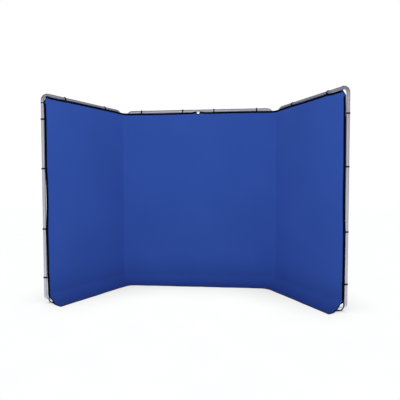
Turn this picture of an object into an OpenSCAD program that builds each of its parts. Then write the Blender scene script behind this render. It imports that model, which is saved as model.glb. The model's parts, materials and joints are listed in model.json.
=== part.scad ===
// Free-standing folding partition wall: a wide centre frame and two wing frames of bent
// aluminium tube, hinged together, with one cloth cover clipped over all three.
//
// Origin: on the floor, in the middle of the centre panel's floor skirt. +Z up. The cloth
// faces -Y and both wings fold forward, towards -Y. Millimetres.
// Each frame is drawn in its own flat frame: tube axes at y = 0, cloth towards -y. A wing's
// own x runs outward from its hinge axis at x = 0, and place_wing() folds it into position.

/* [Frames] */
// Height of all three frames
frame_h = 2114; // [2050:1:2200]
// Width of the centre frame, over its tubes
centre_w = 1796; // [1700:1:1900]
// Width of each wing frame, over its tubes
wing_w = 1036; // [950:1:1100]
// Gap between the outer edges of neighbouring frames' tubes
frame_gap = 66; // [62:1:80]
// How far each wing is folded forward of flat, in degrees
wing_fold = 59.3; // [0:0.1:90]

/* [Tube] */
// Outside diameter of the tube
tube_d = 32; // [30:1:34]
// Wall thickness of the tube
tube_wall = 1.5; // [1.2:0.1:2]
// Bend radius at the frames' corners, to the tube's centre line
bend_r = 64; // [50:1:80]
// Height of the lower upright joints, as a frame is first built
lower_joint_z = 890; // [700:1:920]
// Height of the upper upright joints, as a frame is first built
upper_joint_z = 1405; // [1404:1:1450]
// Distance of the centre frame's rail joints to the right of the middle
rail_joint_x = 110; // [60:1:125]

/* [Joint fittings] */
// Length of the spigot inside each tube joint
spigot_len = 120; // [100:1:140]
// Distance of a joint's snap button, and of its rivet, from the seam
button_offset = 30; // [24:1:36]
// Diameter of the snap buttons
button_d = 8; // [6:0.5:9]
// How far a snap button stands out of its tube, and travels to release it
button_travel = 4.5; // [3:0.1:5]

/* [Hinges] */
// Height of each hinge bracket along its tube
bracket_h = 60; // [50:1:70]
// Distance of the end hinges from the frames' ends
hinge_end = 250; // [200:1:300]
// Diameter of the hinge pins
pin_d = 8; // [6:0.5:10]

/* [Cover] */
// Distance from the frames' top to the cover's top edge
top_inset = 36; // [34:1:45]
// Distance from the wings' outer edges to the cover's side edges
side_inset = 25; // [23:1:40]
// Size of the cut across the cover's two upper outer corners
corner_cut = 42; // [20:1:80]
// Width of the notch in the middle of the cover's top edge
notch_w = 36; // [20:1:50]
// Depth of the notch
notch_depth = 28; // [26:1:40]
// Distance the floor skirt reaches in front of the tubes' axes
skirt_reach = 198; // [150:1:260]
// Thickness of the cloth
cloth_t = 1.2; // [0.8:0.1:1.4]
// Width of the elastic binding round the cover's edge
binding_w = 20; // [12:1:25]
// Width of the binding along the skirt's front hem
hem_w = 10; // [6:1:14]
// Thickness of the binding
binding_t = 2.4; // [1.6:0.1:2.8]

/* [Cover clips] */
// Width of a clip along its tube
clip_w = 14; // [10:1:18]
// Thickness of a clip's hook
clip_wall = 3; // [2:0.1:4]
// How far a clip's finger lip stands beyond its hook
clip_lip = 4; // [2:0.5:6]
// Distance of the centre frame's inner clips from the middle
clip_inner_x = 190; // [170:1:260]
// Distance of the centre frame's outer clips from the middle
clip_outer_x = 700; // [600:1:780]
// Distance of a wing's top clips from its ends
clip_wing_end = 260; // [180:1:350]
// Distance of the end clips on the outer uprights from the frame's ends
clip_side_end = 265; // [200:1:320]
// Distance of the inner clips on the outer uprights from the frame's ends
clip_side_inner = 755; // [600:1:800]

/* [Hidden] */
$fn = 64;
tube_r = tube_d / 2;
bore_r = tube_r - tube_wall;
pivot_x = centre_w / 2 + frame_gap / 2;
wing_in = frame_gap / 2;
wing_out = wing_in + wing_w;
tube_y = skirt_reach / 2;
seam_gap = 0.4;
sliding_gap = 0.1;
running_gap = 0.05;
solid_gap = 0.2;
cut = 1;

// Side of a tube that a button or rivet is on, as a turn about the tube. The buttons face
// the front wherever the cloth leaves the tube bare.
to_back = 0;
to_front = 180;
centre_upright_x = centre_w / 2 - tube_r;
inner_upright_x = wing_in + tube_r;
outer_upright_x = wing_out - tube_r;

spigot_r = bore_r - sliding_gap;
spigot_wall = 1.5;
spigot_bore_r = spigot_r - spigot_wall;
rivet_r = 2;
rivet_hole_r = rivet_r + running_gap;
button_hole_r = button_d / 2 + running_gap;
rivet_head_r = 4;
rivet_head_t = 1.2;
flange_r = button_d / 2 + 1.5;
flange_t = 1;
flange_y = spigot_bore_r - 2.7;
dome_t = 1.5;
leaf_w = 6;
leaf_t = 0.8;
leaf_len = 30;
leaf_y = spigot_bore_r - 0.9;
leaf_hook_y = 3;

bracket_in_r = tube_r + sliding_gap;
bracket_wall = 4.4;
bracket_mouth = 100;
knuckle_r = pin_d / 2 + 5;
knuckle_h = 20;
web_t = 8;
pin_head_r = 6.5;
pin_head_t = 2;
ring_t = 1.2;
hinge_z = [hinge_end, frame_h / 2, frame_h - hinge_end];

cloth_y = tube_r + 1.3;
binding_y = cloth_y + cloth_t / 2 - binding_t / 2;
cloth_end = 25;
mitre = 7;
skirt_side = wing_out - side_inset;
cover_top = frame_h - top_inset;

clip_in_r = tube_r + sliding_gap;
clip_out_r = clip_in_r + clip_wall;
clip_front_angle = 105;
clip_back_angle = 110;
tab_t = 1.4;
tab_lap = 10;
tab_y = max(cloth_y + cloth_t / 2 + binding_t / 2, clip_out_r) + solid_gap;
centre_clip_x = [-clip_outer_x, -clip_inner_x, clip_inner_x, clip_outer_x];
wing_clip_x = [wing_in + clip_wing_end, wing_out - clip_wing_end];
side_clip_z = [clip_side_end, clip_side_inner, frame_h - clip_side_inner, frame_h - clip_side_end];

// Both wings are the same frame. The left one stands the other way up, so its joints are
// at the mirrored heights.
joint_z = [lower_joint_z, upper_joint_z];
turned_joint_z = [frame_h - upper_joint_z, frame_h - lower_joint_z];

alu = [0.72, 0.71, 0.76];
steel = [0.62, 0.63, 0.65];
black = [0.05, 0.05, 0.07];
blue = [0.16, 0.28, 0.60];

// ---------- placing ----------

module place_centre() {
    translate([0, tube_y, 0]) children();
}

module place_right() {
    place_centre() translate([pivot_x, 0, 0]) rotate([0, 0, -wing_fold]) children();
}

module place_left() {
    place_centre() translate([-pivot_x, 0, 0]) rotate([0, 0, wing_fold]) mirror([1, 0, 0]) children();
}

// Turns a shape drawn for the top of a frame over to its bottom.
module at_bottom() {
    translate([0, 0, frame_h]) mirror([0, 0, 1]) children();
}

// ---------- bent tube ----------

module rod_x(x0, x1, z, r) {
    translate([x0, 0, z]) rotate([0, 90, 0]) cylinder(r = r, h = x1 - x0);
}

module rod_z(x, z0, z1, r) {
    translate([x, 0, z0]) cylinder(r = r, h = z1 - z0);
}

// A quarter bend in the frame's plane, round the point x, z. At turn = 0 it is an upper
// right corner, and turn = -90 makes it an upper left one.
module bend(x, z, turn, r) {
    translate([x, 0, z])
        rotate([0, turn, 0])
        rotate([90, 0, 0])
        rotate_extrude(angle = 90)
        translate([bend_r, 0])
        circle(r = r);
}

// Hole through one wall of a tube, at x, z. face is to_back or to_front.
module wall_hole(x, z, r, face) {
    translate([x, 0, z]) rotate([-90, 0, face]) cylinder(r = r, h = tube_r + cut);
}

// Upper half of a wing frame: two legs and the rail between them, in one bent tube.
module bow_solid(x0, x1, leg_z, r) {
    left = x0 + tube_r;
    right = x1 - tube_r;
    rail_z = frame_h - tube_r;
    bend_z = rail_z - bend_r;
    rod_z(left, leg_z, bend_z, r);
    bend(left + bend_r, bend_z, -90, r);
    rod_x(left + bend_r, right - bend_r, rail_z, r);
    bend(right - bend_r, bend_z, 0, r);
    rod_z(right, leg_z, bend_z, r);
}

module bow_tube(joint) {
    hole_z = joint + button_offset;
    color(alu) difference() {
        bow_solid(wing_in, wing_out, joint + seam_gap / 2, tube_r);
        bow_solid(wing_in, wing_out, joint - cut, bore_r);
        wall_hole(inner_upright_x, hole_z, button_hole_r, to_back);
        wall_hole(outer_upright_x, hole_z, button_hole_r, to_front);
    }
}

// Upper right corner of the centre frame: one leg and part of the rail.
module corner_solid(x1, leg_z, rail_x, r) {
    right = x1 - tube_r;
    rail_z = frame_h - tube_r;
    rod_z(right, leg_z, rail_z - bend_r, r);
    bend(right - bend_r, rail_z - bend_r, 0, r);
    rod_x(rail_x, right - bend_r, rail_z, r);
}

// rail_hole_r is the radius of the hole near the rail's end, for a button or a rivet, and
// rail_face is the side that it is on.
module corner_tube(joint, rail_x, rail_hole_r, rail_face) {
    x1 = centre_w / 2;
    color(alu) difference() {
        corner_solid(x1, joint + seam_gap / 2, rail_x + seam_gap / 2, tube_r);
        corner_solid(x1, joint - cut, rail_x - cut, bore_r);
        wall_hole(x1 - tube_r, joint + button_offset, button_hole_r, to_back);
        wall_hole(rail_x + button_offset, frame_h - tube_r, rail_hole_r, rail_face);
    }
}

module right_corner_tube(joint, rail_face) {
    corner_tube(joint, rail_joint_x, button_hole_r, rail_face);
}

module left_corner_tube(joint, rail_face) {
    mirror([1, 0, 0]) corner_tube(joint, -rail_joint_x, rivet_hole_r, rail_face);
}

// Straight tube between the two joints of an upright, with its rivet holes.
module middle_tube(x, joints, face) {
    color(alu) difference() {
        rod_z(x, joints[0] + seam_gap / 2, joints[1] - seam_gap / 2, tube_r);
        rod_z(x, joints[0] - cut, joints[1] + cut, bore_r);
        wall_hole(x, joints[0] + button_offset, rivet_hole_r, face);
        wall_hole(x, joints[1] - button_offset, rivet_hole_r, face);
    }
}

// ---------- tube joint fittings ----------

// Each fitting is drawn along +z from the seam at z = 0, button side up and rivet side
// down, with its button and rivet facing back.
module spigot() {
    color(steel) difference() {
        rod_z(0, -spigot_len / 2, spigot_len / 2, spigot_r);
        rod_z(0, -spigot_len / 2 - cut, spigot_len / 2 + cut, spigot_bore_r);
        wall_hole(0, button_offset, button_hole_r, to_back);
        wall_hole(0, -button_offset, rivet_hole_r, to_back);
    }
}

module rivet() {
    shank_y = spigot_bore_r + 0.1;
    color(steel) translate([0, 0, -button_offset]) rotate([-90, 0, 0]) {
        translate([0, 0, shank_y]) cylinder(r = rivet_r, h = tube_r + 0.1 - shank_y);
        translate([0, 0, tube_r + 0.05])
            cylinder(r1 = rivet_head_r, r2 = rivet_head_r * 0.6, h = rivet_head_t);
    }
}

// The button and the free arm of its leaf spring, which move together.
module snap_button() {
    top_y = tube_r + button_travel;
    color(steel) translate([0, 0, button_offset]) {
        rotate([-90, 0, 0]) {
            translate([0, 0, flange_y]) cylinder(r = flange_r, h = flange_t);
            translate([0, 0, flange_y]) cylinder(r = button_d / 2, h = top_y - dome_t - flange_y);
            translate([0, 0, top_y - dome_t])
                cylinder(r1 = button_d / 2, r2 = button_d / 2 - dome_t, h = dome_t);
        }
        translate([-leaf_w / 2, flange_y - leaf_t, -leaf_len + flange_r])
            cube([leaf_w, leaf_t + 0.2, leaf_len]);
    }
}

// The fixed arm of the leaf spring, along the front wall, and its turned-up end.
module leaf_spring() {
    color(steel) translate([-leaf_w / 2, 0, button_offset - leaf_len]) {
        translate([0, -leaf_y, 0]) cube([leaf_w, leaf_t, leaf_len]);
        translate([0, -leaf_y, -leaf_t]) cube([leaf_w, leaf_y + leaf_hook_y, leaf_t + 0.01]);
    }
}

// Puts a fitting at joint i of an upright, button side towards the frame's near end.
module at_upright(x, joints, i, face) {
    translate([x, 0, joints[i]]) rotate([0, i == 0 ? 180 : 0, face]) children();
}

// Puts a fitting at the joint of the centre frame's top rail, button side to the right.
module at_top_rail(face) {
    translate([rail_joint_x, 0, frame_h - tube_r]) rotate([0, 90, 0]) rotate([0, 0, face]) children();
}

module at_bottom_rail() {
    at_bottom() at_top_rail(to_back) children();
}

module centre_fittings() {
    for (side = [-1, 1], i = [0, 1]) at_upright(side * centre_upright_x, joint_z, i, to_back) children();
    at_top_rail(to_front) children();
    at_bottom_rail() children();
}

module wing_fittings(joints) {
    for (i = [0, 1]) {
        at_upright(inner_upright_x, joints, i, to_back) children();
        at_upright(outer_upright_x, joints, i, to_front) children();
    }
}

// ---------- hinges ----------

// One half of a hinge, seen from its axis at x = 0 with the tube on the +x side: a C that
// snaps on the tube from behind, and a web out to the knuckles. middle = true gives the
// half with the single middle knuckle.
module bracket_blank() {
    translate([inner_upright_x, 0, -bracket_h / 2]) difference() {
        cylinder(r = bracket_in_r + bracket_wall, h = bracket_h);
        translate([0, 0, -cut]) cylinder(r = bracket_in_r, h = bracket_h + 2 * cut);
        translate([0, 0, -cut]) rotate([0, 0, -90]) bracket_mouth_cut();
    }
    translate([0, -web_t / 2, -bracket_h / 2])
        cube([inner_upright_x - bracket_in_r - 1, web_t, bracket_h]);
}

// Wedge along +x that opens the C.
module bracket_mouth_cut() {
    reach = 2 * (bracket_in_r + bracket_wall);
    half = bracket_mouth / 2;
    linear_extrude(bracket_h + 2 * cut)
        polygon([[0, 0], [reach * cos(half), -reach * sin(half)], [reach * cos(half), reach * sin(half)]]);
}

module hinge_half(middle) {
    half_h = knuckle_h / 2;
    color(black) difference() {
        union() {
            bracket_blank();
            translate([0, 0, -bracket_h / 2]) cylinder(r = knuckle_r, h = bracket_h);
        }
        if (middle) {
            translate([0, 0, half_h]) knuckle_relief(bracket_h);
            translate([0, 0, -half_h - bracket_h]) knuckle_relief(bracket_h);
        } else {
            translate([0, 0, -half_h - solid_gap]) knuckle_relief(knuckle_h + 2 * solid_gap);
        }
        translate([0, 0, -bracket_h]) cylinder(r = pin_d / 2 + running_gap, h = 2 * bracket_h);
    }
}

module knuckle_relief(h) {
    cylinder(r = knuckle_r + 1, h = h);
}

module at_hinges() {
    for (z = hinge_z) translate([0, 0, z]) children();
}

module wing_hinge_brackets() {
    at_hinges() hinge_half(true);
}

// The centre frame's halves sit on both hinge lines, with their tubes inward.
module at_centre_hinges() {
    for (side = [0, 1]) mirror([side, 0, 0]) translate([pivot_x, 0, 0]) at_hinges() children();
}

module centre_hinge_halves() {
    at_centre_hinges() mirror([1, 0, 0]) hinge_half(false);
}

module hinge_pin() {
    top = bracket_h / 2 + 0.1;
    color(steel) {
        translate([0, 0, -top - ring_t - 3]) cylinder(r = pin_d / 2, h = 2 * top + ring_t + 3);
        translate([0, 0, top]) cylinder(r = pin_head_r, h = pin_head_t);
    }
}

module hinge_pin_ring() {
    color(steel) translate([0, 0, -bracket_h / 2 - 0.2 - ring_t]) difference() {
        cylinder(r = pin_head_r, h = ring_t);
        translate([0, 0, -cut]) cylinder(r = pin_d / 2 + running_gap, h = ring_t + 2 * cut);
    }
}

// ---------- cover clips ----------

// One clip on a tube along x, with the frame's outside towards +z: a hook that runs from
// the tube's front over its outer side to the back, and a finger lip. Angles are measured
// round the tube from its outer side.
module clip_hook() {
    color(black) rotate([90, 0, 90]) translate([0, 0, -clip_w / 2]) {
        rotate([0, 0, 90 - clip_back_angle])
            rotate_extrude(angle = clip_back_angle + clip_front_angle)
            translate([clip_in_r, 0])
            square([clip_wall, clip_w]);
        translate([-clip_wall / 2, clip_out_r - 0.4, 0]) cube([clip_wall, clip_lip + 0.4, clip_w]);
    }
}

// Elastic tab in front of the tube, from the clip's front end in to where it is sewn on the
// binding of a cover whose edge is that inset from the frame's.
module elastic_tab(inset) {
    near = 2;
    far = inset - tube_r + tab_lap;
    color(black) translate([-clip_w / 2, -tab_y - tab_t, -far]) cube([clip_w, tab_t, far - near]);
}

// Puts a clip or tab on a frame's top rail, or on a wing's outer upright.
module at_top(x) {
    translate([x, 0, frame_h - tube_r]) children();
}

module at_side(z) {
    translate([outer_upright_x, 0, z]) rotate([0, 90, 0]) children();
}

module at_centre_clips() {
    for (x = centre_clip_x) at_top(x) children();
}

module at_wing_top_clips() {
    for (x = wing_clip_x) at_top(x) children();
}

module at_side_clips() {
    for (z = side_clip_z) at_side(z) children();
}

module wing_cover_clips() {
    at_wing_top_clips() clip_hook();
    at_side_clips() clip_hook();
}

module wing_elastic_tabs() {
    at_wing_top_clips() elastic_tab(top_inset);
    at_side_clips() elastic_tab(side_inset);
}

// ---------- cover ----------

// Outline of a wing's upright cloth in x and z, drawn in from the cover's edge by inset.
function wing_outline(inset) = let (
    side = skirt_side - inset,
    top = cover_top - inset,
    diagonal = skirt_side + cover_top - corner_cut - inset * sqrt(2)
) [
    [cloth_end, 0], [side, 0], [side, diagonal - side], [diagonal - top, top], [cloth_end, top]
];

// Outline of a wing's floor skirt in x and y. Its inner end is mitred to clear the centre
// skirt when the wing is folded square.
function wing_skirt(front, side) = [
    [cloth_end, -cloth_y], [skirt_side - side, -cloth_y], [skirt_side - side, front - skirt_reach],
    [skirt_reach - front + mitre, front - skirt_reach]
];

// Half of the centre skirt's outline: the same mitre, seen from the middle of the frame.
function centre_skirt(front) = [
    [-pivot_x + cloth_end, -cloth_y], [pivot_x - cloth_end, -cloth_y],
    [pivot_x - skirt_reach + front - mitre, front - skirt_reach],
    [-pivot_x + skirt_reach - front + mitre, front - skirt_reach]
];

// Stands a flat outline up, with its back face at y = -back.
module upright_sheet(back, thickness) {
    translate([0, -back, 0]) rotate([90, 0, 0]) linear_extrude(thickness) children();
}

module wing_fabric() {
    inset = binding_w + solid_gap;
    color(blue) {
        upright_sheet(cloth_y, cloth_t) polygon(wing_outline(inset));
        linear_extrude(cloth_t) polygon(wing_skirt(hem_w + solid_gap, inset));
    }
}

module wing_binding() {
    color(black) {
        upright_sheet(binding_y, binding_t) difference() {
            polygon(wing_outline(0));
            polygon(wing_outline(binding_w));
            translate([0, -cut]) square([skirt_side - binding_w, frame_h / 2]);
            translate([0, -cut]) square([cloth_end + cut, cover_top - binding_w + cut]);
        }
        linear_extrude(binding_t) difference() {
            polygon(wing_skirt(0, 0));
            skirt_window();
        }
    }
}

// The part of the wing's skirt inside its side and hem binding.
module skirt_window() {
    translate([-binding_w, -skirt_reach + hem_w]) square([skirt_side, skirt_reach]);
}

// Notch in the middle of the cover's top edge, with its sides and round bottom grown outward.
module notch(grow) {
    r = notch_w / 2 + grow;
    translate([0, cover_top - notch_depth + notch_w / 2]) {
        circle(r = r);
        translate([-r, 0]) square([2 * r, notch_depth]);
    }
}

module centre_fabric() {
    half = pivot_x - cloth_end;
    color(blue) {
        upright_sheet(cloth_y, cloth_t) difference() {
            translate([-half, 0]) square([2 * half, cover_top - binding_w - solid_gap]);
            notch(binding_w + solid_gap);
        }
        linear_extrude(cloth_t) polygon(centre_skirt(hem_w + solid_gap));
    }
}

module centre_binding() {
    half = pivot_x - cloth_end;
    color(black) {
        upright_sheet(binding_y, binding_t) difference() {
            union() {
                translate([-half, cover_top - binding_w]) square([2 * half, binding_w]);
                intersection() {
                    notch(binding_w);
                    translate([-half, 0]) square([2 * half, cover_top]);
                }
            }
            notch(0);
        }
        linear_extrude(binding_t) intersection() {
            polygon(centre_skirt(0));
            translate([-pivot_x, -skirt_reach]) square([2 * pivot_x, hem_w]);
        }
    }
}

// ---------- centre frame ----------

place_centre() left_corner_tube(upper_joint_z, to_front);  // centre_upper_left_tube
place_centre() right_corner_tube(upper_joint_z, to_front);  // centre_upper_right_tube
place_centre() at_bottom() left_corner_tube(frame_h - lower_joint_z, to_back);  // centre_lower_left_tube
place_centre() at_bottom() right_corner_tube(frame_h - lower_joint_z, to_back);  // centre_lower_right_tube
place_centre() middle_tube(-centre_upright_x, joint_z, to_back);  // centre_left_middle_tube
place_centre() middle_tube(centre_upright_x, joint_z, to_back);  // centre_right_middle_tube
place_centre() centre_fittings() spigot();  // centre_spigots
place_centre() centre_fittings() rivet();  // centre_rivets
place_centre() centre_fittings() leaf_spring();  // centre_leaf_springs
place_centre() centre_hinge_halves();  // centre_hinge_brackets
place_centre() at_centre_hinges() hinge_pin();  // hinge_pins
place_centre() at_centre_hinges() hinge_pin_ring();  // hinge_pin_rings
place_centre() at_centre_clips() clip_hook();  // centre_cover_clips
place_centre() at_centre_clips() elastic_tab(top_inset);  // centre_elastic_tabs
place_centre() centre_fabric();
place_centre() centre_binding();

// ---------- left wing ----------

place_left() bow_tube(turned_joint_z[1]);  // left_upper_bow_tube
place_left() at_bottom() bow_tube(frame_h - turned_joint_z[0]);  // left_lower_bow_tube
place_left() middle_tube(outer_upright_x, turned_joint_z, to_front);  // left_outer_middle_tube
place_left() middle_tube(inner_upright_x, turned_joint_z, to_back);  // left_inner_middle_tube
place_left() wing_fittings(turned_joint_z) spigot();  // left_spigots
place_left() wing_fittings(turned_joint_z) rivet();  // left_rivets
place_left() wing_fittings(turned_joint_z) leaf_spring();  // left_leaf_springs
place_left() wing_hinge_brackets();  // left_hinge_brackets
place_left() wing_cover_clips();  // left_cover_clips
place_left() wing_elastic_tabs();  // left_elastic_tabs
place_left() wing_fabric();  // left_fabric
place_left() wing_binding();  // left_binding

// ---------- right wing ----------

place_right() bow_tube(joint_z[1]);  // right_upper_bow_tube
place_right() at_bottom() bow_tube(frame_h - joint_z[0]);  // right_lower_bow_tube
place_right() middle_tube(outer_upright_x, joint_z, to_front);  // right_outer_middle_tube
place_right() middle_tube(inner_upright_x, joint_z, to_back);  // right_inner_middle_tube
place_right() wing_fittings(joint_z) spigot();  // right_spigots
place_right() wing_fittings(joint_z) rivet();  // right_rivets
place_right() wing_fittings(joint_z) leaf_spring();  // right_leaf_springs
place_right() wing_hinge_brackets();  // right_hinge_brackets
place_right() wing_cover_clips();  // right_cover_clips
place_right() wing_elastic_tabs();  // right_elastic_tabs
place_right() wing_fabric();  // right_fabric
place_right() wing_binding();  // right_binding

// ---------- snap buttons ----------

place_centre() at_upright(-centre_upright_x, joint_z, 0, to_back) snap_button();  // button_centre_left_lower
place_centre() at_upright(-centre_upright_x, joint_z, 1, to_back) snap_button();  // button_centre_left_upper
place_centre() at_upright(centre_upright_x, joint_z, 0, to_back) snap_button();  // button_centre_right_lower
place_centre() at_upright(centre_upright_x, joint_z, 1, to_back) snap_button();  // button_centre_right_upper
place_centre() at_top_rail(to_front) snap_button();  // button_centre_top_rail
place_centre() at_bottom_rail() snap_button();  // button_centre_bottom_rail
place_left() at_upright(outer_upright_x, turned_joint_z, 0, to_front) snap_button();  // button_left_outer_lower
place_left() at_upright(outer_upright_x, turned_joint_z, 1, to_front) snap_button();  // button_left_outer_upper
place_left() at_upright(inner_upright_x, turned_joint_z, 0, to_back) snap_button();  // button_left_inner_lower
place_left() at_upright(inner_upright_x, turned_joint_z, 1, to_back) snap_button();  // button_left_inner_upper
place_right() at_upright(outer_upright_x, joint_z, 0, to_front) snap_button();  // button_right_outer_lower
place_right() at_upright(outer_upright_x, joint_z, 1, to_front) snap_button();  // button_right_outer_upper
place_right() at_upright(inner_upright_x, joint_z, 0, to_back) snap_button();  // button_right_inner_lower
place_right() at_upright(inner_upright_x, joint_z, 1, to_back) snap_button();  // button_right_inner_upper
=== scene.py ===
# Visual model of the folding partition wall: one cloth cover with its black binding and
# elastic tabs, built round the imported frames. Metres, in the CAD frame: cloth faces -Y.
import json
import math

import bmesh
import bpy
import numpy as np
from mathutils import Matrix, Vector


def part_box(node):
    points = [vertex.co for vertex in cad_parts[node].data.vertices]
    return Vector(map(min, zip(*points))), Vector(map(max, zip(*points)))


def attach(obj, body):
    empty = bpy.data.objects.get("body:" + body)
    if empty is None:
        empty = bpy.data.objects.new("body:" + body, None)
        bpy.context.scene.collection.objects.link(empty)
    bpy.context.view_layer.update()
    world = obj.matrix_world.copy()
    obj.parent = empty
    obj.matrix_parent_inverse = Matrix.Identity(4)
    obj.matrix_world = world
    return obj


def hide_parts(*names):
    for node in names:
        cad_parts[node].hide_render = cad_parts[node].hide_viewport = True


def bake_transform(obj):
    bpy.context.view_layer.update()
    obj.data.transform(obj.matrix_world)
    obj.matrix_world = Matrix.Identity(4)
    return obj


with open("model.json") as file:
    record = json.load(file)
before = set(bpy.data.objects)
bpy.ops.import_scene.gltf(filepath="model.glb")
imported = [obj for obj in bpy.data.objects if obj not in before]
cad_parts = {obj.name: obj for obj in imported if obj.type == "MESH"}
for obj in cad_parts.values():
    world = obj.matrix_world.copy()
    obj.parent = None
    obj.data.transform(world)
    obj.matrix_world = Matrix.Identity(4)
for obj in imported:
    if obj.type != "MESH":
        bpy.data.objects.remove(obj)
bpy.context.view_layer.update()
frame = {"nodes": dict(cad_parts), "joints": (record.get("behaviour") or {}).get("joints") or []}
NODES = frame["nodes"]
JOINTS = {j["name"]: j for j in frame["joints"]}
SIDES = (("left", -1), ("right", 1))

# ---------- sizes taken from the frame ----------


def vertices(node):
    co = np.empty(len(NODES[node].data.vertices) * 3, np.float32)
    NODES[node].data.vertices.foreach_get("co", co)
    return co.reshape(-1, 3).astype(float)


def middle(node):
    lo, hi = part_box(node)
    return (lo + hi) / 2


PIVOT = Vector(JOINTS["right_wing_fold"]["pos_m"])
upright = middle("right_outer_middle_tube")
WING_AXIS = math.hypot(upright.x - PIVOT.x, upright.y - PIVOT.y)
FOLD = math.atan2(PIVOT.y - upright.y, upright.x - PIVOT.x)
COS, SIN = math.cos(FOLD), math.sin(FOLD)
lo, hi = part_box("right_outer_middle_tube")
TUBE_R = (hi.x - lo.x) / 2
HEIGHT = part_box("centre_upper_left_tube")[1].z
RAIL_Z = HEIGHT - TUBE_R
COVER_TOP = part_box("centre_binding")[1].z
REACH = PIVOT.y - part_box("centre_binding")[0].y


def wing_local(points, side=1):
    """World points as distance out from the hinge, distance forward of the tubes, and height."""
    x, y = side * points[:, 0] - PIVOT.x, PIVOT.y - points[:, 1]
    return np.stack([x * COS + y * SIN, y * COS - x * SIN, points[:, 2]], 1)


SIDE_U = wing_local(vertices("right_binding"))[:, 0].max()


def centres(values, gap=0.05):
    """Middles of the separate groups that a set of coordinates falls in."""
    v = np.sort(values)
    breaks = np.nonzero(np.diff(v) > gap)[0]
    starts, ends = np.append(0, breaks + 1), np.append(breaks, len(v) - 1)
    return [(v[a] + v[b]) / 2 for a, b in zip(starts, ends)]


clips = vertices("centre_cover_clips")
CENTRE_CLIPS = centres(clips[:, 0])
clips = wing_local(vertices("right_cover_clips"))
on_top = clips[:, 2] > HEIGHT - 3 * TUBE_R
HOOK_R = clips[~on_top, 1].max()   # how far the side clips' hooks stand forward of the tube's axis
WING_CLIPS = centres(clips[on_top, 0])
SIDE_CLIPS = centres(clips[~on_top, 2])

# ---------- the cover's surface ----------

# In the tables below -1 is the left side, 1 the right side and 0 the top.
CLOTH_T = 0.0012                 # the cloth's thickness
BINDING_W = {-1: 0.0235, 0: 0.0235, 1: 0.029}   # the binding's width down the sides and on top
HEM_W = 0.011                    # and along the hem
BINDING_T = 0.0026               # its thickness
FACE = TUBE_R + 0.0019           # the cloth's middle surface, forward of the tube axes
FLOOR_Z = 0.0016                 # its height where it lies on the floor
CUT_H = 0.062                    # height of the piece left open at each upper corner
CUT_W = {-1: 0.020, 1: 0.042}    # and its width
NOTCH_W, NOTCH_DEPTH = 0.034, 0.019   # the notch in the middle of the top edge
OVER_CLIP = 0.0034               # how far the cover's edge rides forward over a side clip
TAN_HALF = math.tan(FOLD / 2)
COS_HALF = math.cos(FOLD / 2)
HALF_A = PIVOT.x + SIDE_U        # half the cover's width, along the cloth
COVE_FOOT, COVE_TOP = 0.125, 0.105    # how far forward the cove's curve starts and how high it ends
COVE_OUT, COVE_UP = 0.050, 0.060      # its control points: one on the floor, one on the cloth
TOP_HANG = {-1: (0.0, 0.002, 0.0, 0.001, 0.003), 1: (0.0, -0.001, 0.002, 0.003, 0.0)}   # between clips
SIDE_PULL = {-1: (0.0, 0.001, 0.006, 0.006, 0.004, 0.009),   # how far each clip pulls the edge out
             1: (0.010, 0.013, 0.015, 0.009, 0.003, -0.001)}
SIDE_HANG = {-1: (0.004, 0.001, 0.009, 0.0, 0.001), 1: (0.001, 0.0, 0.006, 0.001, 0.0)}   # and its hang
OPEN_Z = {-1: 0.066, 1: 0.100}   # top of the scallop left open at each lower corner
OPEN_RISE = {-1: 0.036, 1: 0.042}   # height over which the scallop's upper end closes
SCALLOP = {-1: 0.010, 1: 0.016}   # its depth
SCALLOP_Q = {-1: (0.10, 0.14), 1: (0.03, 0.13)}   # where along the edge it deepens
SKIRT_IN = {-1: 0.010, 1: 0.018}   # how far in the skirt's side edge runs
EDGE_IN = 0.004                  # how far the cloth's own edge stops inside the binding's


def cove_profile():
    """Points from the hem back over the floor, up the cove and up the upright cloth."""
    p = np.array([[FACE + COVE_FOOT, FLOOR_Z], [FACE + COVE_OUT, FLOOR_Z],
                  [FACE, COVE_UP], [FACE, COVE_TOP]])
    t = np.linspace(0, 1, 60)[:, None]
    curve = (1 - t) ** 3 * p[0] + 3 * t * (1 - t) ** 2 * p[1]
    curve = curve + 3 * t ** 2 * (1 - t) * p[2] + t ** 3 * p[3]
    return np.vstack([[REACH, FLOOR_Z], curve, [FACE, HEIGHT]])


PROFILE = cove_profile()
PROFILE_Q = np.append(0, np.cumsum(np.linalg.norm(np.diff(PROFILE, axis=0), axis=1)))


def q_at_height(z):
    """Distance up the cloth from the hem, for a height on the upright part."""
    return PROFILE_Q[-1] - (HEIGHT - z)


Q_TOP = q_at_height(COVER_TOP)


def smooth(x, a, b):
    t = np.clip((x - a) / (b - a), 0, 1)
    return t * t * (3 - 2 * t)


def gathers(a, q):
    """Small pleats that fan out from the points where the clips hold the cover's edges."""
    far, spread, count = 0.11, 0.07, 5   # middle and half length of the pleats, and how close they lie
    out = np.zeros(np.broadcast(a, q).shape)
    holds = [(x, Q_TOP, False) for x in CENTRE_CLIPS[2:]]
    holds += [(PIVOT.x + x, Q_TOP, False) for x in WING_CLIPS]
    holds += [(HALF_A, q_at_height(z), True) for z in SIDE_CLIPS]
    for hold_a, hold_q, on_side in holds:
        into, along = (hold_a - a, q - hold_q) if on_side else (hold_q - q, a - hold_a)
        r = np.hypot(into, along)
        turn = np.arctan2(along, np.maximum(into, 1e-4))
        fan = (0.5 + 0.5 * np.cos(count * turn)) * np.cos(turn) ** 2
        out += np.exp(-(((r - far) / spread) ** 2)) * fan
    return out


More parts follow.
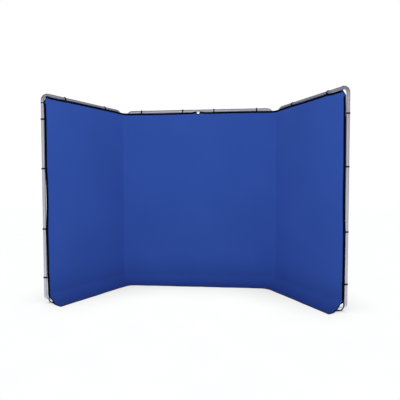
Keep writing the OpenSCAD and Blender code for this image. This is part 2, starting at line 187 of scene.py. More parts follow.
def ripple(side, a, q):
    """How far the cloth stands proud of its even surface: broad waves, finer folds low down and
    a wavy hem. The waves' lengths and phases are chosen."""
    s = side * a
    broad = 0.0016 * (1 + np.sin(4.3 * s + 1.3 * q + 0.4))
    broad = broad + 0.0010 * (1 + np.sin(9.7 * s - 2.2 * q + 1.9))
    broad += 0.0008 * (1 + np.sin(2.1 * s + 6.3 * q))
    edges = smooth(Q_TOP - q, 0.03, 0.20) * smooth(HALF_A - a, 0.03, 0.22)
    folds = 0.0011 * (1 + np.sin(31 * s + 9 * q + 1.5 * np.sin(3 * s))) * (1 - smooth(q, 0.15, 0.75))
    hem = 0.0016 * (1 + np.sin(13.5 * s + 0.8)) * (1 - smooth(q, 0.0, 0.14))
    return (broad * smooth(q, 0.0, 0.3) + 0.0012 * gathers(a, q)) * edges + folds * edges + hem


def plain_surface(side, a, q):
    """The cloth's middle surface before its ripples. a is the distance from the middle of the
    cover along the cloth, and q the distance up from the hem."""
    off = np.interp(q, PROFILE_Q, PROFILE[:, 0]) + np.maximum(-q, 0)   # goes on flat past the hem
    z = np.interp(q, PROFILE_Q, PROFILE[:, 1])
    out = smooth(a, PIVOT.x, HALF_A)
    wander = 0.010 + (0.020 if side < 0 else -0.014) * out   # how far the hem strays forward
    off = off + wander * (1 - smooth(q, 0.0, 0.18))
    rise = sum(np.exp(-(((q - q_at_height(c)) / 0.017) ** 2)) for c in SIDE_CLIPS)
    off = off + OVER_CLIP * rise * smooth(a, HALF_A - 0.035, HALF_A - 0.006)
    # the two panels meet on the mitre line between them, where the cloth turns in a soft bend;
    # what the inner corner takes up in width is spread over the first half metre of each panel
    on_wing = np.where(a > PIVOT.x, 1.0, -1.0)
    from_hinge = np.abs(a - PIVOT.x)
    taken_up = off * TAN_HALF
    ramp = np.clip(1 - from_hinge / 0.5, 0, 1) ** 2
    e = on_wing * (from_hinge - taken_up * (1 - ramp)) * COS_HALF
    bend = 0.024 + 0.012 * (1 - smooth(q, 0.1, 0.9)) + 0.022 * (1 - smooth(q, 0.0, 0.2))
    x = np.abs(e / bend)
    h = off / COS_HALF + TAN_HALF * bend * (x + np.log1p(np.exp(-2 * x)))
    # along: square to the mitre line, from the centre panel to the wing; front: the mitre line
    along = np.array([COS + 1, -SIN]) / math.hypot(COS + 1, SIN)
    front = np.array([COS - 1, -SIN]) / math.hypot(COS - 1, SIN)
    px = PIVOT.x + e * along[0] + h * front[0]
    py = PIVOT.y + e * along[1] + h * front[1]
    return np.stack([side * px, py, z], -1)


def surface(side, a, q, lift=0.0):
    """Points on the rippled cloth, lifted off its middle surface towards the front."""
    a, q = np.broadcast_arrays(np.asarray(a, float), np.asarray(q, float))

    def normal(shape, a, q, step):
        n = side * np.cross(shape(a + step, q) - shape(a - step, q),
                            shape(a, q + step) - shape(a, q - step))
        return n / np.linalg.norm(n, axis=-1, keepdims=True)

    def plain(a, q):
        return plain_surface(side, a, q)

    def rippled(a, q):
        return plain(a, q) + normal(plain, a, q, 1e-4) * ripple(side, a, q)[..., None]

    return rippled(a, q) + normal(rippled, a, q, 5e-4) * np.asarray(lift)[..., None]


# ---------- the cover's outline ----------


def sag(x, holds, depth):
    """How far an edge hangs in from its line between the points that hold it."""
    out = np.zeros_like(x)
    for (x0, x1), d in zip(zip(holds[:-1], holds[1:]), depth):
        t = np.clip((x - x0) / (x1 - x0), 0, 1)
        out += d * 4 * t * (1 - t)
    return out


def top_z(side, a):
    """Height of the cover's top edge."""
    last_clip = PIVOT.x + WING_CLIPS[1]
    holds = [-CENTRE_CLIPS[-2], CENTRE_CLIPS[-2], CENTRE_CLIPS[-1], PIVOT.x + WING_CLIPS[0],
             last_clip, HALF_A]
    z = COVER_TOP + 0.002 + 0.004 * smooth(a, PIVOT.x - 0.1, PIVOT.x + 0.2)
    z = z - sag(a, holds, TOP_HANG[side])
    if side < 0:   # stands a little higher past the hinge line
        z += 0.003 * smooth(a, PIVOT.x - 0.15, PIVOT.x) * (1 - smooth(a, PIVOT.x + 0.5, PIVOT.x + 0.9))
    else:          # drops past the last clip
        z -= 0.008 * smooth(a, last_clip, last_clip + 0.07)
    z += 0.007 * smooth(a, 0.085, 0.030)   # drawn up beside the notch
    r = NOTCH_W / 2
    low = COVER_TOP - NOTCH_DEPTH + r
    no_notch = 9.0   # above any top edge
    notch = np.where(a < r, low - np.sqrt(np.maximum(r * r - a * a, 0)), no_notch)
    cut = COVER_TOP - CUT_H + (HALF_A - a) * CUT_H / CUT_W[side]
    return np.minimum(np.minimum(z, cut), notch)


def top_q(side, a):
    """The top edge's height, as a distance up the cloth."""
    return q_at_height(top_z(side, a))


def side_a(side, q):
    """Where the cover's side edge runs, as a distance from its middle."""
    z = q - q_at_height(0.0)
    holds = [0.02] + SIDE_CLIPS + [COVER_TOP - CUT_H]
    below = 1 - smooth(z, OPEN_Z[side] - OPEN_RISE[side], OPEN_Z[side])
    cut_in = (SCALLOP[side] * smooth(q, *SCALLOP_Q[side]) + SKIRT_IN[side]) * below
    return HALF_A + np.interp(z, holds, SIDE_PULL[side]) - sag(z, holds, SIDE_HANG[side]) - cut_in


# ---------- meshes ----------


def new_piece(name, points, faces, uv, material):
    mesh = bpy.data.meshes.new(name)
    mesh.from_pydata([tuple(p) for p in points], [], faces)
    mesh.update()
    layer = mesh.uv_layers.new(name="flat")
    loop_vertex = np.empty(len(mesh.loops), np.int32)
    mesh.loops.foreach_get("vertex_index", loop_vertex)
    layer.data.foreach_set("uv", np.asarray(uv, np.float32)[loop_vertex].ravel())
    mesh.shade_smooth()
    mesh.materials.append(material)
    obj = bpy.data.objects.new(name, mesh)
    bpy.context.scene.collection.objects.link(obj)
    return obj


def grid_faces(rows, cols, start=0, flip=False, wrap=False):
    faces = []
    for i in range(rows - 1):
        for j in range(cols if wrap else cols - 1):
            k = (j + 1) % cols
            f = (start + i * cols + j, start + i * cols + k,
                 start + (i + 1) * cols + k, start + (i + 1) * cols + j)
            faces.append(f[::-1] if flip else f)
    return faces


def weld(obj):
    """Joins points that fall together and turns all faces outwards."""
    bm = bmesh.new()
    bm.from_mesh(obj.data)
    bmesh.ops.remove_doubles(bm, verts=bm.verts, dist=1e-6)
    bmesh.ops.recalc_face_normals(bm, faces=bm.faces)
    bm.to_mesh(obj.data)
    bm.free()


def mark_sharp(obj, degrees):
    """Keeps the creases of a smooth-shaded mesh that are sharper than an angle."""
    obj.data.set_sharp_from_angle(angle=math.radians(degrees))


def spaced(breaks, steps):
    """Coordinates from the first break to the last, with a chosen step between breaks."""
    out = [breaks[0]]
    for a, b, s in zip(breaks[:-1], breaks[1:], steps):
        out += list(np.linspace(a, b, max(2, int(round((b - a) / s)) + 1))[1:])
    return np.array(out)


def cover_half(name, side, material):
    """One half of the cloth, from the cover's middle to its outer edge, a thin closed solid."""
    a0 = spaced([0, 0.05, 0.13, PIVOT.x - 0.16, PIVOT.x + 0.16, HALF_A - 0.08, HALF_A],
                [0.004, 0.010, 0.018, 0.008, 0.018, 0.006])
    shoulder = COVER_TOP - 0.15   # height above which the rows bend to follow the top edge
    close = 0.035                 # rows lie denser this far above and below each side clip
    stops = [0.2] + [z + d for z in SIDE_CLIPS for d in (-close, close)] + [shoulder, COVER_TOP]
    up = q_at_height(spaced(stops, [0.018, 0.005] * len(SIDE_CLIPS) + [0.018, 0.008]))
    level = np.concatenate([spaced([0.002, 0.24, up[0]], [0.006, 0.014]), up[1:]])
    q_turn = q_at_height(shoulder)
    bent = np.maximum(level - q_turn, 0) / (Q_TOP - q_turn)
    q_top = top_q(side, a0) - EDGE_IN
    q = np.minimum(level, q_turn)[:, None] + (q_top[None, :] - q_turn) * bent[:, None]
    inset = HALF_A - side_a(side, q) + EDGE_IN
    reach = 0.3                   # width over which the columns shift to meet the side edge
    pull = np.clip((a0 - (HALF_A - reach)) / reach, 0, 1)
    a = a0[None, :] - inset * pull[None, :]
    front = surface(side, a, q, CLOTH_T / 2)
    back = surface(side, a, q, -CLOTH_T / 2)
    rows, cols = a.shape
    n = rows * cols
    pts = np.concatenate([front.reshape(-1, 3), back.reshape(-1, 3)])
    uv = np.tile(np.stack([side * a, q], -1).reshape(-1, 2), (2, 1))
    faces = grid_faces(rows, cols, 0, flip=side < 0) + grid_faces(rows, cols, n, flip=side > 0)
    ring = list(range(cols)) + [i * cols + cols - 1 for i in range(1, rows)]
    ring += [(rows - 1) * cols + j for j in range(cols - 2, -1, -1)]
    ring += [i * cols for i in range(rows - 2, 0, -1)]
    for p, r in zip(ring, ring[1:] + ring[:1]):
        f = (p, p + n, r + n, r)
        faces.append(f[::-1] if side < 0 else f)
    obj = new_piece(name, pts, faces, uv, material)
    mark_sharp(obj, 50)
    return obj


def resample(points, step):
    """A polyline's points at even distances, keeping its two ends."""
    d = np.append(0, np.cumsum(np.linalg.norm(np.diff(points[:, :2], axis=0), axis=1)))
    s = np.linspace(0, d[-1], int(round(d[-1] / step)) + 1)
    return np.stack([np.interp(s, d, column) for column in points.T], 1), s


def mitred(line, inner, width):
    """The tape's inner edge, with its crossings at tight turns drawn together to a mitre."""
    gap = np.linalg.norm(inner[:, None, :] - line[None, :, :], axis=2).min(1)
    crossed = gap < width * 0.985
    out = inner.copy()
    i = 1
    while i < len(inner) - 1:
        if crossed[i]:
            j = i
            while j < len(inner) - 1 and crossed[j]:
                j += 1
            out[i:j] = (inner[i - 1] + inner[j]) / 2
            i = j
        i += 1
    return out


def binding_half(name, side, material):
    """The elastic binding folded round the cover's edge, from the middle of the top edge over
    the corner and down the side, then back along the hem to the middle."""
    r, thin = NOTCH_W / 2, HEM_W
    a_cut = HALF_A - CUT_W[side]
    a_notch = r * np.sin(np.linspace(0, math.pi / 2 - 0.02, 24))
    a_top = np.concatenate([a_notch, np.linspace(r + 0.002, a_cut, 500)])
    wide = smooth(a_top, r - 0.004, r + 0.003) * (1 - smooth(a_top, a_cut - 0.004, a_cut))
    top = np.stack([a_top, top_q(side, a_top), thin + (BINDING_W[0] - thin) * wide], 1)
    q_side = np.linspace(q_at_height(COVER_TOP - CUT_H), 0.006, 900)
    z_side = q_side - q_at_height(0.0)
    wide = smooth(COVER_TOP - CUT_H - z_side, 0, 0.010)
    wide = wide * smooth(z_side, OPEN_Z[side] - 0.012, OPEN_Z[side])
    edge = np.stack([side_a(side, q_side), q_side, thin + (BINDING_W[side] - thin) * wide], 1)
    a_hem = np.linspace(side_a(side, np.array([0.0]))[0] - 0.006, 0, 300)
    hem = np.stack([a_hem, np.zeros_like(a_hem), np.full_like(a_hem, thin)], 1)
    line, s = resample(np.vstack([top, edge, hem]), 0.004)
    line, width = line[:, :2], line[:, 2]
    tangent = np.gradient(line, axis=0)
    for _ in range(3):   # rounds the turns a little, so that the folded tape stays even
        tangent[1:-1] = (tangent[:-2] + 2 * tangent[1:-1] + tangent[2:]) / 4
    tangent /= np.linalg.norm(tangent, axis=1, keepdims=True)
    tangent[0], tangent[-1] = (1, 0), (-1, 0)   # square to the middle, where the two halves meet
    inward = np.stack([tangent[:, 1], -tangent[:, 0]], 1)
    inner = mitred(line, line + inward * width[:, None], width)
    t = BINDING_T / 2
    # across the tape: share of the width in from the fold, and height off the cloth
    section = [(0.00, 0.0), (0.02, 0.75), (0.07, 1.0), (0.36, 0.94), (0.5, 0.88), (0.64, 0.94),
               (0.94, 1.0), (1.0, 0.62), (1.0, -0.62), (0.94, -1.0), (0.5, -0.9), (0.07, -1.0),
               (0.02, -0.75)]
    share = np.array([c[0] for c in section])
    lift = np.array([c[1] for c in section]) * t
    place = line[:, None, :] + (inner - line)[:, None, :] * share[None, :, None]
    aa, qq = np.maximum(place[..., 0], 0), np.maximum(place[..., 1], 0)
    pts = surface(side, aa, qq, np.broadcast_to(lift, aa.shape))
    rows, cols = aa.shape
    uv = np.stack([np.repeat(s[:, None], cols, 1), share[None, :] * width[:, None]], -1)
    faces = grid_faces(rows, cols, 0, flip=side < 0, wrap=True)
    caps = [tuple(range(cols)), tuple((rows - 1) * cols + j for j in range(cols))[::-1]]
    faces += [c if side > 0 else c[::-1] for c in caps]
    obj = new_piece(name, pts.reshape(-1, 3), faces, uv.reshape(-1, 2), material)
    weld(obj)
    mark_sharp(obj, 55)
    return obj


def panel_point(panel, along, off, z):
    """World point of a panel (-1 left wing, 0 centre, 1 right wing): distance along it from its
    hinge line, or from the middle; distance forward of the tubes; height."""
    if panel == 0:
        return Vector((along, PIVOT.y - off, z))
    x = panel * (PIVOT.x + along * COS - off * SIN)
    return Vector((x, PIVOT.y - along * SIN - off * COS, z))


STRAP_T = 0.0007                 # half the thickness of an elastic strap
STRAP_W, LOOP_W, ELASTIC_W = 0.0070, 0.0045, 0.0055   # half widths: clip, upper, lower corner
BOW_U = {-1: 1.046, 1: 1.072}    # how far out along the wing a lower corner's elastic bows
BOW_Z = 0.0135                   # and at what height
# a strap's section: across it and through it, in its half width and half thickness
STRAP = [(-1, -1), (-1, 1), (-0.86, 1.25), (-0.4, 1.35), (0, 1.4), (0.4, 1.35), (0.86, 1.25),
         (1, 1), (1, -1)]


def on_hook(out):
    """How far forward a strap lies on a clip's hook, out from the tube's axis."""
    return np.sqrt(np.maximum(HOOK_R ** 2 - np.square(out), 0)) + STRAP_T + 0.0002


def top_strap(edge):
    """A strap's path from a top clip to the binding: (out from the tube's axis, forward of it)."""
    front = FACE + BINDING_T / 2 + STRAP_T
    return [(0.0040, front + 0.0002), (0.0032, front + 0.0008), (0.0, front + 0.0010),
            (-edge * 0.5, front + 0.0009), (-edge, front + 0.0007), (-edge - 0.006, front + 0.0003),
            (-edge - 0.013, front), (-edge - 0.0145, front - 0.0004)]


def side_strap(edge):
    """The same from a side clip, where the cover's edge rides over the clip."""
    front = FACE + OVER_CLIP + BINDING_T / 2 + STRAP_T + 0.0003
    start, end = max(0.012, 0.008 - edge), 0.0025 - edge
    path = [(o, on_hook(max(o, -0.005))) for o in np.linspace(start, end, 6)]
    return path + [(-edge - 0.0005, front), (-edge - 0.007, front), (-edge - 0.0135, front - 0.0002),
                   (-edge - 0.015, front - 0.0006)]


def corner_loop(edge, over):
    """A loop of elastic from the cover's upper corner round the bare tube: over its front, or
    in behind it."""
    front = FACE + BINDING_T / 2 + STRAP_T
    r = TUBE_R + STRAP_T + 0.0003
    turns = np.radians(np.linspace(-215, 88, 27) if over else np.linspace(30, -172, 18))
    turns = [t for t in turns if t < 0 or not over or r * math.cos(t) > 0.003 - edge]
    path = [(r * math.cos(t), r * math.sin(t)) for t in turns]
    return path + [(0.001 - edge, front - 0.0002), (-edge - 0.004, front + 0.0002),
                   (-edge - 0.012, front - 0.0002)]


def corner_elastic(side):
    """Rings of the elastic that ties the side binding to the hem's, across the open lower
    corner and in front of the tube's bend."""
    def on_edge(q, inside):
        return surface(side, side_a(side, np.array([q])) - inside, q)[0]

    start = on_edge(q_at_height(OPEN_Z[side] - 0.008), 0.005)
    bow = panel_point(side, BOW_U[side], TUBE_R + 0.0065, BOW_Z)
    end = on_edge(0.116, 0.003)
    t = np.linspace(0, 1, 26)[:, None]
    line = (1 - t) ** 2 * start + 2 * t * (1 - t) * np.array(bow) + t ** 2 * end
    run = np.gradient(line, axis=0)
    run /= np.linalg.norm(run, axis=1, keepdims=True)
    ahead = np.array(panel_point(side, 0, 1, 0) - panel_point(side, 0, 0, 0))
    ahead = ahead - run * (run @ ahead)[:, None]
    ahead /= np.linalg.norm(ahead, axis=1, keepdims=True)
    across = np.cross(run, ahead)
    return [[p + c * ELASTIC_W * w + h * STRAP_T * n for c, h in STRAP]
            for p, w, n in zip(line, across, ahead)]


def tabs(name, panel, straps, material, body):
    """Elastic straps from the clips to the binding, and across a wing's open lower corner.
    Each strap: place along the panel, height, its outward direction in those two, half width,
    and path."""
    pts, faces, uv = [], [], []
    cols = len(STRAP)

    def add(rings):
        start = len(pts)
        for k, ring in enumerate(rings):
            for (c, _), point in zip(STRAP, ring):
                pts.append(point)
                uv.append((k * 0.006, c * 0.007))
        faces.extend(grid_faces(len(rings), cols, start, wrap=True))
        faces.append(tuple(start + j for j in range(cols)))
        faces.append(tuple(start + (len(rings) - 1) * cols + j for j in range(cols))[::-1])

    for along, z, out_a, out_z, half_w, path in straps:
        path = np.array(path)
        run = np.gradient(path, axis=0)
        run /= np.linalg.norm(run, axis=1, keepdims=True)
        lift = np.stack([run[:, 1], -run[:, 0]], 1) * STRAP_T   # square to the path, outwards
        add([[panel_point(panel, along + out_a * (o + lo * h) + out_z * c * half_w, f + lf * h,
                          z + out_z * (o + lo * h) + out_a * c * half_w) for c, h in STRAP]
             for (o, f), (lo, lf) in zip(path, lift)])
    if panel:
        add(corner_elastic(panel))
    obj = new_piece(name, pts, faces, uv, material)
    weld(obj)
    mark_sharp(obj, 55)
    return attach(obj, body)


# ---------- materials ----------


class Nodes:
    """Small helper to write node trees."""

    def __init__(self, name):
        self.material = bpy.data.materials.new(name)
        self.material.use_nodes = True
        self.tree = self.material.node_tree
        self.bsdf = next(n for n in self.tree.nodes if n.type == "BSDF_PRINCIPLED")

    def add(self, kind, inputs=None, **settings):
        node = self.tree.nodes.new(kind)
        for k, v in settings.items():
            setattr(node, k, v)
        for k, v in (inputs or {}).items():
            self.put(v, node.inputs[k])
        return node

    def put(self, value, socket):
        if isinstance(value, bpy.types.NodeSocket):
            self.tree.links.new(value, socket)
        elif isinstance(value, bpy.types.Node):
            self.tree.links.new(value.outputs[0], socket)
        else:
            socket.default_value = value

    def math(self, op, a, b=0.0, c=None):
        inputs = {0: a, 1: b}
        if c is not None:
            inputs[2] = c
        return self.add("ShaderNodeMath", inputs, operation=op).outputs[0]

    def noise(self, vector, scale, detail=3.0, rough=0.5):
        inputs = {"Vector": vector, "Scale": scale, "Detail": detail, "Roughness": rough}
        return self.add("ShaderNodeTexNoise", inputs).outputs["Fac"]

    def flat_uv(self):
        return self.add("ShaderNodeUVMap", uv_map="flat").outputs["UV"]

    def step(self, value, lo, hi, at_lo, at_hi):
        inputs = {"Value": value, "From Min": lo, "From Max": hi, "To Min": at_lo, "To Max": at_hi}
        node = self.add("ShaderNodeMapRange", inputs, interpolation_type="SMOOTHSTEP")
        return node.outputs[0]

    def ramp(self, fac, stops):
        node = self.add("ShaderNodeValToRGB", {"Fac": fac})
        ends = node.color_ramp.elements
        while len(ends) < len(stops):
            ends.new(0.5)
        for e, (at, colour) in zip(ends, stops):
            e.position, e.color = at, (*colour, 1) if len(colour) == 3 else colour
        return node.outputs["Color"]

    def bump(self, height, strength, distance):
        inputs = {"Height": height, "Strength": strength, "Distance": distance}
        return self.add("ShaderNodeBump", inputs).outputs["Normal"]

    def set(self, **values):
        for k, v in values.items():
            self.put(v, self.bsdf.inputs[k.replace("_", " ")])


THREAD = 0.0016   # the cloth's thread spacing
STITCH = 0.0045   # length of a stitch and the gap after it


def cloth_material():
    m = Nodes("cover_cloth")
    uv = m.flat_uv()
    split = m.add("ShaderNodeSeparateXYZ", {0: uv})
    x, y = split.outputs[0], split.outputs[1]
    pitch = 2 * math.pi / THREAD
    warp = m.math("SINE", m.math("MULTIPLY", x, pitch))
    weft = m.math("SINE", m.math("MULTIPLY", y, pitch * 0.8))
    weave = m.math("MULTIPLY", warp, weft)
    broad = m.noise(uv, 1.7, 2.0)
    fine = m.noise(uv, 240.0, 3.0, 0.7)
    tone = m.math("ADD", m.math("MULTIPLY", broad, 0.6), m.math("MULTIPLY", fine, 0.4))
    colour = m.ramp(tone, [(0.30, (0.0235, 0.070, 0.330)), (0.70, (0.0295, 0.080, 0.370))])
    height = m.math("ADD", m.math("MULTIPLY", weave, 0.5), m.math("MULTIPLY", fine, 0.8))
    # painted glow in the cloth's own colour, standing in for light that comes in from behind the sheet;
    # next to none where the cloth lies on the floor, which paints the cloth darker towards the floor
    painted_glow = m.step(y, 0.05, 0.50, 0.02, 0.2)
    m.set(Base_Color=colour, Roughness=m.math("MULTIPLY_ADD", fine, 0.1, 0.78),
          Normal=m.bump(height, 0.25, 0.0003), Sheen_Weight=0.06, Sheen_Roughness=0.6,
          Sheen_Tint=(0.45, 0.55, 0.9, 1), Specular_IOR_Level=0.2,
          Emission_Color=colour, Emission_Strength=painted_glow)
    return m.material


def tape_material(name, dark, light, rib, stitch_at):
    """Woven elastic tape: ribs along its length, and a line of stitches."""
    m = Nodes(name)
    split = m.add("ShaderNodeSeparateXYZ", {0: m.flat_uv()})
    along, across = split.outputs[0], split.outputs[1]
    ribs = m.math("SINE", m.math("MULTIPLY", across, 2 * math.pi / rib))
    cross = m.math("SINE", m.math("MULTIPLY", along, 2 * math.pi / (rib * 0.8)))
    near = m.math("LESS_THAN", m.math("ABSOLUTE", m.math("SUBTRACT", across, stitch_at)), 0.0006)
    dash = m.math("LESS_THAN", m.math("FRACT", m.math("DIVIDE", along, STITCH)), 0.72)
    stitch = m.math("MULTIPLY", near, dash)
    wear = m.noise(m.add("ShaderNodeTexCoord").outputs["Object"], 30.0, 4.0)
    colour = m.ramp(m.math("ADD", m.math("MULTIPLY", wear, 0.7), m.math("MULTIPLY", stitch, 0.25)),
                    [(0.3, dark), (0.75, light)])
    height = m.math("ADD", m.math("MULTIPLY", ribs, 0.5),
                    m.math("ADD", m.math("MULTIPLY", cross, 0.25), m.math("MULTIPLY", stitch, 1.2)))
    m.set(Base_Color=colour, Roughness=m.math("MULTIPLY_ADD", wear, 0.15, 0.68),
          Normal=m.bump(height, 0.5, 0.0004), Specular_IOR_Level=0.12)
    return m.material


def metal_material(name, tint, rough, streak_axis, streak=0.05, metallic=0.85, painted_floor_glow=0.0):
    """Drawn or brushed metal: fine streaks along one axis, faint handling marks, and a painted glow
    close to the floor that stands in for the light reflected up from a pale floor close by."""
    m = Nodes(name)
    obj = m.add("ShaderNodeTexCoord").outputs["Object"]
    scale = [260.0, 260.0, 260.0]
    scale[streak_axis] = 4.0
    stretched = m.add("ShaderNodeMapping", {"Vector": obj, "Scale": scale}).outputs[0]
    lines = m.noise(stretched, 1.0, 3.0, 0.6)
    smudge = m.noise(obj, 9.0, 4.0, 0.6)
    lo = tuple(c * (1 - streak) for c in tint)
    hi = tuple(min(1, c * (1 + streak)) for c in tint)
    colour = m.ramp(m.math("ADD", m.math("MULTIPLY", lines, 0.5), m.math("MULTIPLY", smudge, 0.5)),
                    [(0.35, lo), (0.65, hi)])
    m.set(Base_Color=colour, Metallic=metallic,
          Roughness=m.math("MULTIPLY_ADD", smudge, 0.14, rough - 0.07),
          Normal=m.bump(lines, 0.12, 0.0002))
    if painted_floor_glow:
        # painted glow: the metal lights up below a set height, in place of light reflected up from the
        # floor
        place = m.add("ShaderNodeNewGeometry").outputs["Position"]
        height = m.add("ShaderNodeSeparateXYZ", {0: place}).outputs["Z"]
        m.set(Emission_Color=(0.93, 0.95, 1.0, 1),
              Emission_Strength=m.step(height, 0.085, 0.020, 0.0, painted_floor_glow))
    return m.material


def plastic_material(name, tint, rough):
    m = Nodes(name)
    obj = m.add("ShaderNodeTexCoord").outputs["Object"]
    grain = m.noise(obj, 900.0, 2.0, 0.6)
    scuff = m.noise(obj, 40.0, 4.0, 0.65)
    lo, hi = tint, tuple(c * 1.9 + 0.004 for c in tint)
    colour = m.ramp(scuff, [(0.45, lo), (0.8, hi)])
    m.set(Base_Color=colour, Roughness=m.math("MULTIPLY_ADD", scuff, 0.2, rough - 0.1),
          Normal=m.bump(grain, 0.3, 0.0003), Specular_IOR_Level=0.22)
    return m.material


CLOTH = cloth_material()
TAPE = tape_material("binding_tape", dark=(0.0006, 0.0012, 0.008), light=(0.002, 0.004, 0.018),
                     rib=0.0022, stitch_at=0.0215)
WEBBING = tape_material("elastic_webbing", dark=(0.002, 0.003, 0.010), light=(0.006, 0.008, 0.020),
                        rib=0.0016, stitch_at=0.0045)
# the tubes get a painted glow close to the floor
TUBE = metal_material("anodised_tube", (0.66, 0.65, 0.72), 0.31, 2, metallic=0.70, painted_floor_glow=0.45)
STEEL = metal_material("plated_steel", (0.62, 0.62, 0.64), 0.3, 2)
BARE = metal_material("bare_aluminium", (0.68, 0.68, 0.70), 0.42, 2, 0.08)
CLIP_PLASTIC = plastic_material("clip_nylon", (0.004, 0.004, 0.008), 0.55)
BRACKET_PLASTIC = plastic_material("bracket_nylon", (0.010, 0.010, 0.012), 0.5)


def finish_node(name, obj):
    """Procedural finish for a CAD node, and softened edges where it is moulded."""
    if name.endswith("_tube"):
        material = TUBE
    elif name.endswith(("_spigots", "_rivets")):
        material = BARE
    elif name.endswith("_clips"):
        material = CLIP_PLASTIC
    elif name.endswith("_brackets"):
        material = BRACKET_PLASTIC
    else:
        material = STEEL
    obj.data.materials.clear()
    obj.data.materials.append(material)
    if name.endswith(("_clips", "_brackets")):
        weld = obj.modifiers.new("weld", "WELD")
        weld.merge_threshold = 1e-5
        bevel = obj.modifiers.new("edges", "BEVEL")
        bevel.width, bevel.segments = 0.0007, 2
        bevel.limit_method, bevel.angle_limit = "ANGLE", math.radians(50)
        bevel.harden_normals = True


for node_name, node in NODES.items():
    finish_node(node_name, node)

# ---------- soft pieces ----------


def bend_with_wing(obj):
    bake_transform(obj)


def rail_drop(side, a):
    """How far the cover's top edge lies below the top rail's axis."""
    return RAIL_Z - top_z(side, a)


def post_gap(side, z):
    """How far the cover's side edge lies inside the outer upright's axis."""
    return PIVOT.x + WING_AXIS - side_a(side, np.array([q_at_height(z)]))[0]


def on_rail(place, half_w, path):
    return place, RAIL_Z, 0, 1, half_w, path


def on_post(z, half_w, path):
    return WING_AXIS, z, 1, 0, half_w, path


for side_name, side in SIDES:
    cover = cover_half("cover_" + side_name, side, CLOTH)
    bend_with_wing(cover)
    tape = binding_half("binding_" + side_name, side, TAPE)
    bend_with_wing(tape)
    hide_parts(side_name + "_fabric", "centre_fabric")
    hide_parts(side_name + "_binding", "centre_binding")
    straps = [on_rail(u, STRAP_W, top_strap(rail_drop(side, PIVOT.x + u))) for u in WING_CLIPS]
    straps += [on_post(z, STRAP_W, side_strap(post_gap(side, z))) for z in SIDE_CLIPS]
    if side < 0:   # the left corner's loop goes over the upright, the right one's behind the rail
        z = COVER_TOP - CUT_H - 0.006
        straps.append(on_post(z, LOOP_W, corner_loop(post_gap(side, z), True)))
    else:
        u = SIDE_U - CUT_W[side] - 0.008
        straps.append(on_rail(u, LOOP_W, corner_loop(rail_drop(side, PIVOT.x + u), False)))
    webbing = tabs("tabs_" + side_name, side, straps, WEBBING, side_name + "_wing")
    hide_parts(side_name + "_elastic_tabs")

straps = [on_rail(x, STRAP_W, top_strap(rail_drop(math.copysign(1, x), abs(x)))) for x in CENTRE_CLIPS]
webbing = tabs("tabs_centre", 0, straps, WEBBING, "centre_frame")
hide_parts("centre_elastic_tabs")

# ---------- floor, light and camera ----------

SKY_FRONT, SKY_SIDE, SKY_TOP = 0.50, 0.95, 0.25   # soft light from the front, sides and above
KEY = 69                # the front softbox, in watts
FLOOR_HALF = 14.0       # half the floor's width
SENSOR, LENS = 36, 31.176                         # the fitted camera, in millimetres
YAW, PITCH, ROLL = -5.15, -2.06, -0.07            # its aim, in degrees


def plain_floor():
    mesh = bpy.data.meshes.new("floor")
    r = FLOOR_HALF
    mesh.from_pydata([(-r, -r, 0), (r, -r, 0), (r, r, 0), (-r, r, 0)], [], [(0, 1, 2, 3)])
    floor = bpy.data.objects.new("floor", mesh)
    bpy.context.scene.collection.objects.link(floor)
    m = Nodes("floor_paper")
    grain = m.noise(m.add("ShaderNodeTexCoord").outputs["Object"], 3.0, 2.0)
    path = m.add("ShaderNodeLightPath")
    seen, shiny = path.outputs["Is Camera Ray"], path.outputs["Is Glossy Ray"]
    # white paper, evenly lit, as the camera sees it, with painted shadow from ambient occlusion where
    # things stand close by
    open_sky = m.add("ShaderNodeAmbientOcclusion", {"Distance": 0.8}, samples=16).outputs["AO"]
    painted_shadow_greys = [(0.10, 0.20), (0.42, 0.70), (0.62, 0.84), (0.93, 1.0)]
    glow = m.ramp(open_sky, [(at, (grey,) * 3) for at, grey in painted_shadow_greys])
    glow = m.math("ADD", m.math("MULTIPLY", seen, glow), m.math("MULTIPLY", shiny, 0.52))
    paper = m.ramp(grain, [(0.3, (0.50, 0.51, 0.53)), (0.7, (0.53, 0.54, 0.56))])
    # inputs 6 and 7 and output 2 are the mix node's colours
    black = (0, 0, 0, 1)
    shade = m.add("ShaderNodeMix", {"Factor": seen, 6: paper, 7: black}, data_type="RGBA").outputs[2]
    m.set(Base_Color=shade, Roughness=0.9, Specular_IOR_Level=0.0,
          Emission_Color=m.ramp(grain, [(0.3, (0.985, 0.99, 1.0)), (0.7, (1.0, 1.0, 1.0))]),
          Emission_Strength=glow)
    mesh.materials.append(m.material)


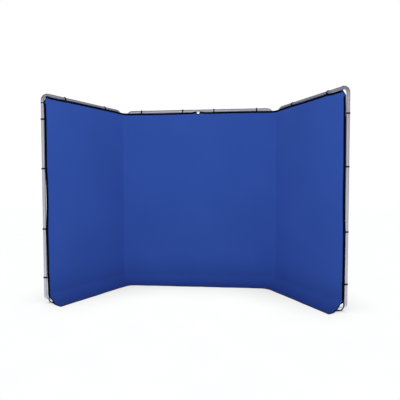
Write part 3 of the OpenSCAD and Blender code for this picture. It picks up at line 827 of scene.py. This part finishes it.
def studio_light():
    """White studio: what the camera sees is plain white, the cloth is lit mostly from the front
    and sides, and polished metal sees darker flags to the sides, above and behind."""
    world = bpy.data.worlds.new("studio")
    bpy.context.scene.world = world
    world.use_nodes = True
    tree = world.node_tree
    tree.nodes.clear()
    link = tree.links.new

    def add(kind, inputs=None, **settings):
        node = tree.nodes.new(kind)
        for k, v in settings.items():
            setattr(node, k, v)
        for k, v in (inputs or {}).items():
            if isinstance(v, bpy.types.NodeSocket):
                link(v, node.inputs[k])
            else:
                node.inputs[k].default_value = v
        return node.outputs[0]

    def calc(op, a, b):
        return add("ShaderNodeMath", {0: a, 1: b}, operation=op)

    def step(value, lo, hi, at_lo, at_hi):
        inputs = {"Value": value, "From Min": lo, "From Max": hi, "To Min": at_lo, "To Max": at_hi}
        return add("ShaderNodeMapRange", inputs, interpolation_type="SMOOTHSTEP")

    coord = tree.nodes.new("ShaderNodeTexCoord")
    split = tree.nodes.new("ShaderNodeSeparateXYZ")
    link(coord.outputs["Generated"], split.inputs[0])
    x, y, z = split.outputs
    across = calc("ABSOLUTE", x, 0.0)
    soft = step(across, 0.2, 0.9, SKY_FRONT, SKY_SIDE)
    soft = calc("MULTIPLY", soft, step(z, 0.05, 0.8, 1.0, SKY_TOP))
    shiny = calc("MULTIPLY", step(y, -0.75, 0.55, 0.66, 0.20), step(z, 0.02, 0.5, 1.0, 0.15))
    path = tree.nodes.new("ShaderNodeLightPath")
    fill = add("ShaderNodeBackground", {"Color": (0.97, 0.98, 1.0, 1), "Strength": soft})
    mirror = add("ShaderNodeBackground", {"Color": (0.97, 0.96, 1.0, 1), "Strength": shiny})
    seen = add("ShaderNodeBackground", {"Color": (1, 1, 1, 1), "Strength": 1.0})
    first = add("ShaderNodeMixShader", {0: path.outputs["Is Glossy Ray"], 1: fill, 2: mirror})
    second = add("ShaderNodeMixShader", {0: path.outputs["Is Camera Ray"], 1: first, 2: seen})
    out = tree.nodes.new("ShaderNodeOutputWorld")
    link(second, out.inputs[0])

    def softbox(name, place, target, size, power):
        data = bpy.data.lights.new(name, "AREA")
        data.shape, data.size, data.energy = "DISK", size, power
        data.color = (1.0, 0.985, 0.97)
        lamp = bpy.data.objects.new(name, data)
        bpy.context.scene.collection.objects.link(lamp)
        lamp.location = place
        lamp.visible_camera = lamp.visible_glossy = False
        lamp.rotation_euler = (Vector(target) - Vector(place)).to_track_quat("-Z", "Y").to_euler()

    softbox("key_light", (-0.15, -3.6, 2.3), (-0.1, 0, 1.2), 2.2, KEY)


def photo_camera():
    data = bpy.data.cameras.new("camera")
    data.lens, data.sensor_width = LENS, SENSOR
    data.clip_end = 60
    cam = bpy.data.objects.new("camera", data)
    bpy.context.scene.collection.objects.link(cam)
    yaw, pitch, roll = math.radians(YAW), math.radians(PITCH), math.radians(ROLL)
    level = math.cos(pitch)
    forward = Vector((math.sin(yaw) * level, math.cos(yaw) * level, math.sin(pitch)))
    aim = forward.to_track_quat("-Z", "Y").to_matrix() @ Matrix.Rotation(roll, 3, "Z")
    cam.rotation_euler = aim.to_euler()
    cam.location = (0.400, PIVOT.y - 4.225, 1.169)
    bpy.context.scene.camera = cam


plain_floor()
studio_light()
photo_camera()
bpy.context.scene.view_settings.view_transform = "Standard"
